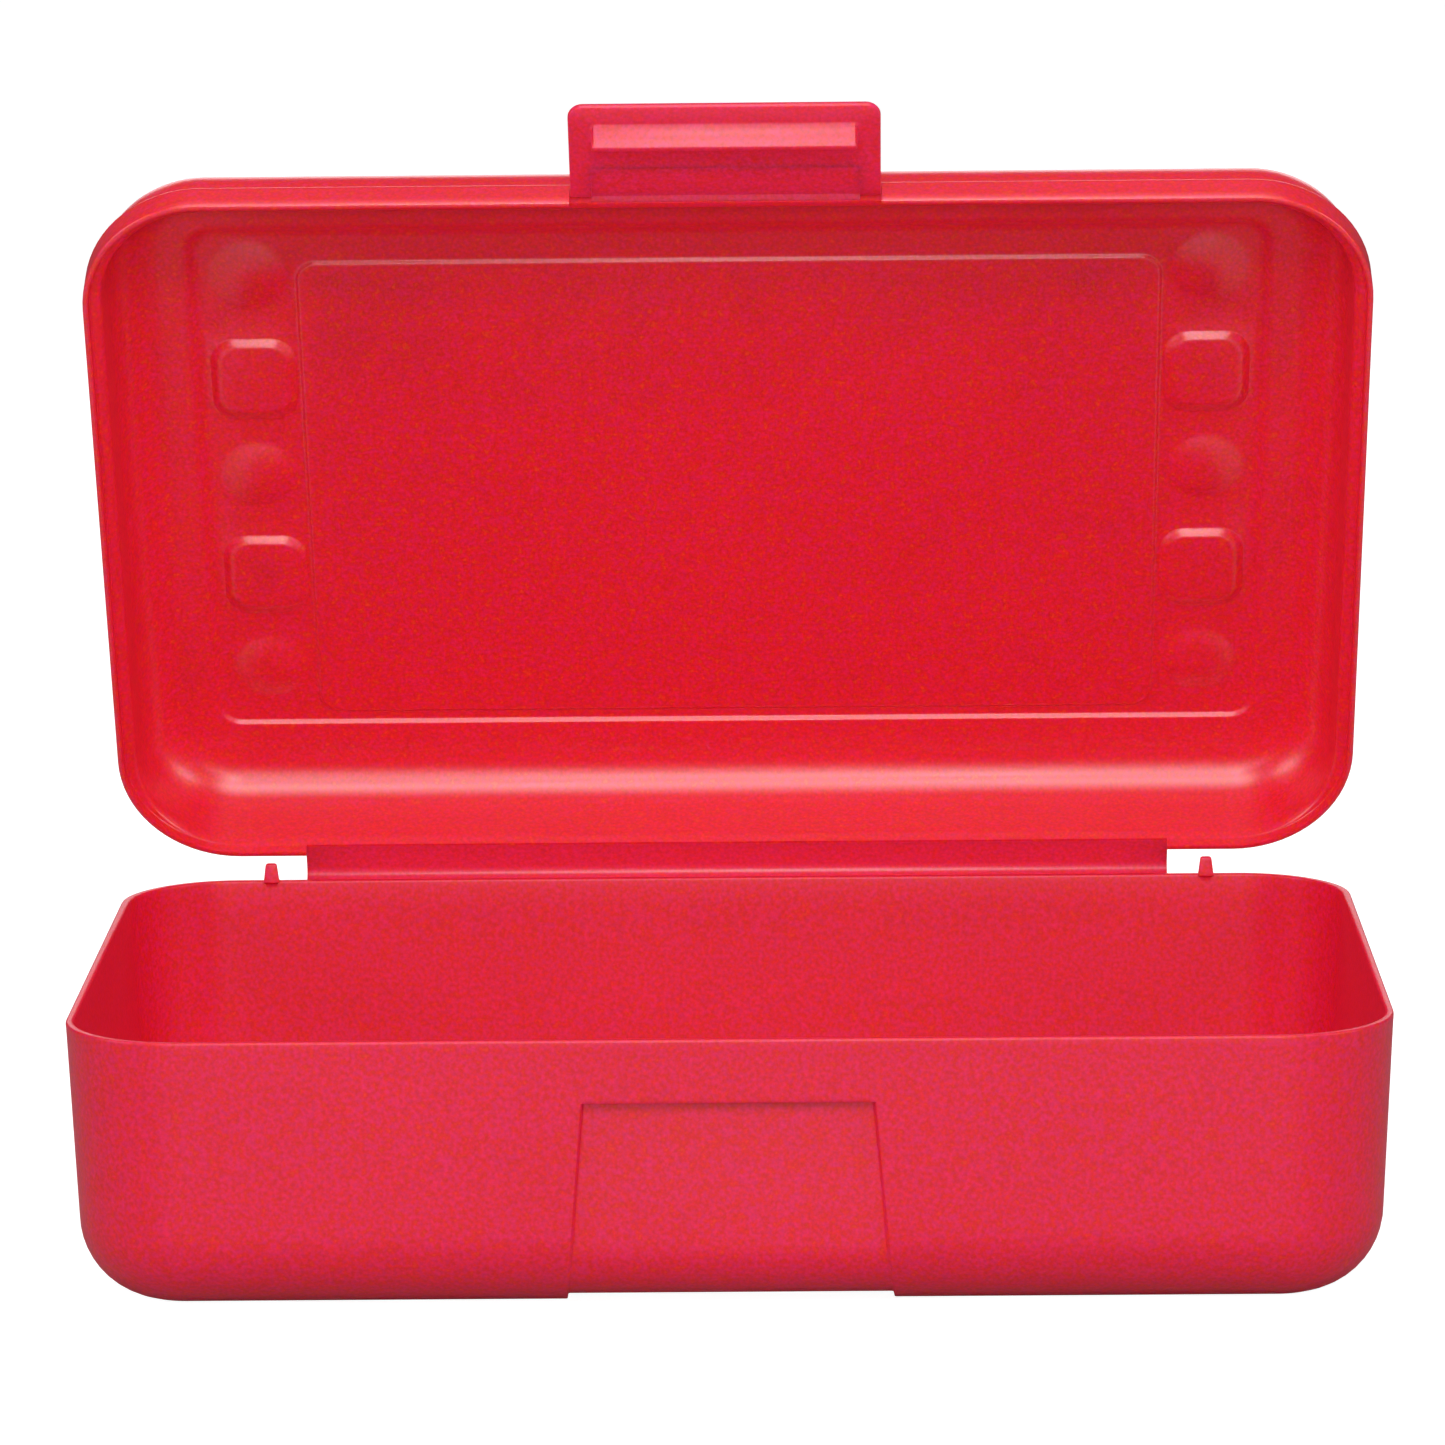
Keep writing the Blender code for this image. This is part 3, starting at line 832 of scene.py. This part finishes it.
def make_latch_plate():
    """The flap with its catch bar. Built flat, x across, y along the flap, z off its face."""
    inner = -LATCH_INNER
    outer = WALL - LATCH_INNER
    edge = [(inner + offset * MM, grow) for offset, grow in LATCH_INNER_EDGE]
    edge += [(outer + offset * MM, grow) for offset, grow in LATCH_OUTER_EDGE]
    rings = [[(x, y, z) for x, y in flap_outline(grow * MM)] for z, grow in edge]
    shape = bmesh.new()
    add_rings(shape, rings)
    add_patch(shape, [rings[0]] + catch_loops(inner))
    add_patch(shape, [rings[-1]])
    plate = finish("latch_plate", shape, LATCH_PLASTIC, sharp=40)
    # Stand the flat plate up on the shut case: its z becomes -Y, and its y becomes Z
    plate.data.transform(Matrix.Rotation(math.radians(90), 4, "X"))
    swing(plate, LATCH_AXIS, LID_OPEN + LATCH_OPEN)
    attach(plate, "latch")
    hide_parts("latch_flap", "latch_catch_bar")


def latch_point(out, up):
    """(y, z) in the row frame of a point on the swung latch."""
    return on_body(-out, up, LATCH_AXIS, LID_OPEN + LATCH_OPEN)


def make_latch_web():
    """A strip from the lid's ledge over the latch's fold and, slightly bowed, down to the flap."""
    root = lid_point(LID_FRONT - NOTCH_DEPTH - 0.5 * MM, 0.6 * MM)
    near = lid_point(LID_FRONT - 0.7 * MM, 0.62 * MM)
    fold = (LATCH_AXIS.y, LATCH_AXIS.z)
    bow_top = latch_point(-0.1 * MM, -1.4 * MM)
    bow_low = latch_point(-0.2 * MM, -3.6 * MM)
    foot = latch_point(-0.33 * MM, WEB_BOTTOM - 0.6 * MM)
    line = bezier(root, near, near, fold, WEB_FOLD_STEPS)
    line += bezier(fold, bow_top, bow_low, foot, WEB_BOW_STEPS)[1:]
    halves = []
    for index in range(len(line)):
        away = min(1.6 * abs(index - WEB_FOLD_STEPS) / WEB_BOW_STEPS, 1.0)
        halves.append(WEB_THIN_HALF + WEB_THICKENING * away)
    ring = thick_line(line, halves)
    half_x = WEB_HALF + WEB_OVERLAP
    sections = [[(share * half_x, y, z) for y, z in ring] for share in (-1, -0.5, 0, 0.5, 1)]
    shape = bmesh.new()
    add_closed_skin(shape, sections)
    web = finish("latch_web_strip", shape, LATCH_PLASTIC)
    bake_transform(web)
    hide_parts("latch_web", "latch_hinge_film")


# ---- stage ----

CAMERA_FOCAL = 178.3
CAMERA_SENSOR = 36.0
CAMERA_ELEVATION = 10.12
CAMERA_YAW = 0.824
CAMERA_ROLL = -0.591
CAMERA_DISTANCE = 1.1895
CAMERA_TARGET = Vector((-0.00122, 0.0, 0.08471))

LIGHT_AIM = Vector((0.0, 0.0, 0.08))
# Name, place, size, watts
LIGHTS = (
    ("overhead", (0.0, -0.1, 1.5), (1.2, 1.0), 8.8),
    ("high_front", (0.0, -1.06, 1.14), (1.0, 0.4), 3.4),
    ("mid_front", (0.0, -1.27, 0.87), (0.9, 0.3), 6.0),
    ("low_front", (0.0, -1.3, 0.06), (1.0, 0.08), 1.5),
    ("front", (0.03, -1.25, 0.36), (0.1, 0.1), 2.6),
    ("back", (0.0, 1.2, 0.45), (1.0, 0.4), 3.0),
    ("left", (-1.3, -0.6, 0.6), (0.8, 0.6), 5.2),
    ("right", (1.3, -0.6, 0.6), (0.8, 0.6), 4.8),
)


def make_camera():
    elevation = math.radians(CAMERA_ELEVATION)
    yaw = math.radians(CAMERA_YAW)
    roll = math.radians(CAMERA_ROLL)
    level = math.cos(elevation)
    back = Vector((math.sin(yaw) * level, -math.cos(yaw) * level, math.sin(elevation)))
    right = (-back).cross(Vector((0, 0, 1))).normalized()
    up = right.cross(-back)
    rolled_right = math.cos(roll) * right + math.sin(roll) * up
    rolled_up = math.cos(roll) * up - math.sin(roll) * right
    data = bpy.data.cameras.new("camera")
    data.sensor_width = CAMERA_SENSOR
    data.lens = CAMERA_FOCAL
    data.clip_start = 0.05
    data.clip_end = 20.0
    camera = bpy.data.objects.new("camera", data)
    bpy.context.scene.collection.objects.link(camera)
    matrix = Matrix((rolled_right, rolled_up, back)).transposed().to_4x4()
    matrix.translation = CAMERA_TARGET + CAMERA_DISTANCE * back
    camera.matrix_world = matrix
    bpy.context.scene.camera = camera


def make_light(name, place, size, watts):
    data = bpy.data.lights.new(name, "AREA")
    data.shape = "RECTANGLE"
    data.size, data.size_y = size
    data.energy = watts
    light = bpy.data.objects.new(name, data)
    light.location = place
    light.rotation_euler = (LIGHT_AIM - Vector(place)).to_track_quat("-Z", "Y").to_euler()
    bpy.context.scene.collection.objects.link(light)


def split_by_ray(tree, unseen, seen, output):
    """Give camera rays one shader and all other rays another."""
    ray = tree.nodes.new("ShaderNodeLightPath")
    mix = tree.nodes.new("ShaderNodeMixShader")
    tree.links.new(ray.outputs["Is Camera Ray"], mix.inputs["Fac"])
    tree.links.new(unseen, mix.inputs[1])
    tree.links.new(seen, mix.inputs[2])
    tree.links.new(mix.outputs["Shader"], output.inputs["Surface"])


def floor_paper():
    """Pale paper: it bounces little light up, and its own glow keeps it near white when seen."""
    material = bpy.data.materials.new("floor_paper")
    material.use_nodes = True
    tree = material.node_tree
    bounce = tree.nodes["Principled BSDF"]
    bounce.inputs["Base Color"].default_value = (0.4, 0.4, 0.4, 1.0)
    bounce.inputs["Roughness"].default_value = 0.9
    glow = tree.nodes.new("ShaderNodeEmission")
    glow.inputs["Strength"].default_value = 0.95
    both = tree.nodes.new("ShaderNodeAddShader")
    tree.links.new(bounce.outputs["BSDF"], both.inputs[0])
    tree.links.new(glow.outputs["Emission"], both.inputs[1])
    split_by_ray(
        tree, bounce.outputs["BSDF"], both.outputs["Shader"], tree.nodes["Material Output"])
    return material


def studio_air():
    """Dim even light on the object, in front of a white background."""
    world = bpy.data.worlds.new("studio")
    world.use_nodes = True
    tree = world.node_tree
    dim = tree.nodes["Background"]
    dim.inputs["Color"].default_value = (1.0, 1.0, 1.0, 1.0)
    dim.inputs["Strength"].default_value = 0.1
    white = tree.nodes.new("ShaderNodeBackground")
    white.inputs["Color"].default_value = (1.0, 1.0, 1.0, 1.0)
    white.inputs["Strength"].default_value = 1.0
    split_by_ray(
        tree, dim.outputs["Background"], white.outputs["Background"], tree.nodes["World Output"])
    return world


def make_floor():
    shape = bmesh.new()
    bmesh.ops.create_grid(shape, x_segments=2, y_segments=2, size=6.0)
    mesh = bpy.data.meshes.new("floor")
    shape.to_mesh(mesh)
    shape.free()
    mesh.materials.append(floor_paper())
    floor = bpy.data.objects.new("floor", mesh)
    floor.location.z = CAD_LOW.z
    bpy.context.scene.collection.objects.link(floor)


def make_stage():
    make_floor()
    bpy.context.scene.world = studio_air()
    bpy.context.scene.view_settings.view_transform = "Standard"
    for name, place, size, watts in LIGHTS:
        make_light(name, place, size, watts)


make_camera()
make_tray()
make_peg("left")
make_peg("right")
make_lid()
make_hinge_web()
make_latch_plate()
make_latch_web()
make_stage()
